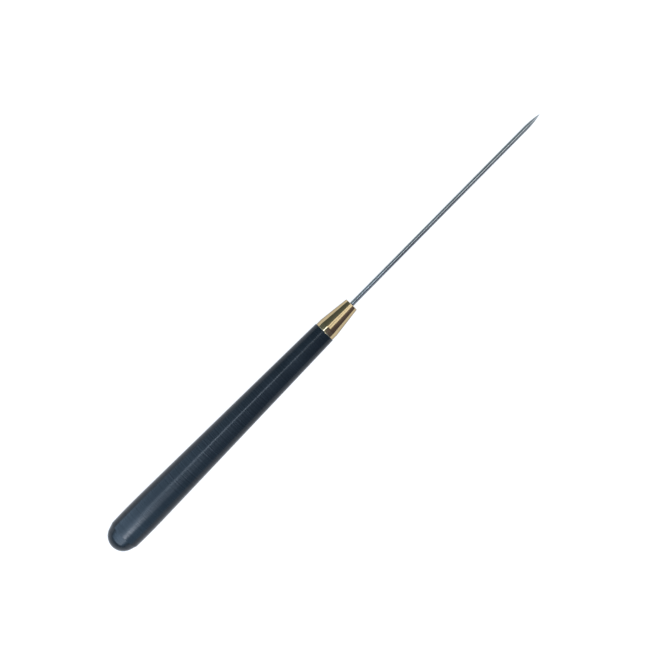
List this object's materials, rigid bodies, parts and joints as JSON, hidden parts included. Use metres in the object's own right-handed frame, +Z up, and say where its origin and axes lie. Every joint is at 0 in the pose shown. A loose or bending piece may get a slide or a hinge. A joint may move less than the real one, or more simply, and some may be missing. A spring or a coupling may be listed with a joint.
{
  "type": "scratch awl",
  "caption": "Slim scratch awl with a tapered black turned handle, a conical brass ferrule and a long, straight, needle-pointed steel blade.",
  "frame": {"origin": "on the tool's axis at the ferrule's front face, where the blade comes out", "axes": "+X along the tool's axis towards the point, +Z up from the surface that the awl lies on"},
  "size_m": [0.2269, 0.013, 0.013],
  "materials": {
    "handle_black": "satin, turned, with fine tool marks around it",
    "ferrule_brass": "turned and polished",
    "blade_steel": "ground, fine satin",
    "cured_adhesive": "cured epoxy, amber"
  },
  "bodies": {
    "root": {"handle": "handle_black", "ferrule": "ferrule_brass", "blade": "blade_steel", "tang_adhesive": "cured_adhesive", "ferrule_adhesive": "cured_adhesive"}
  },
  "joints": []
}
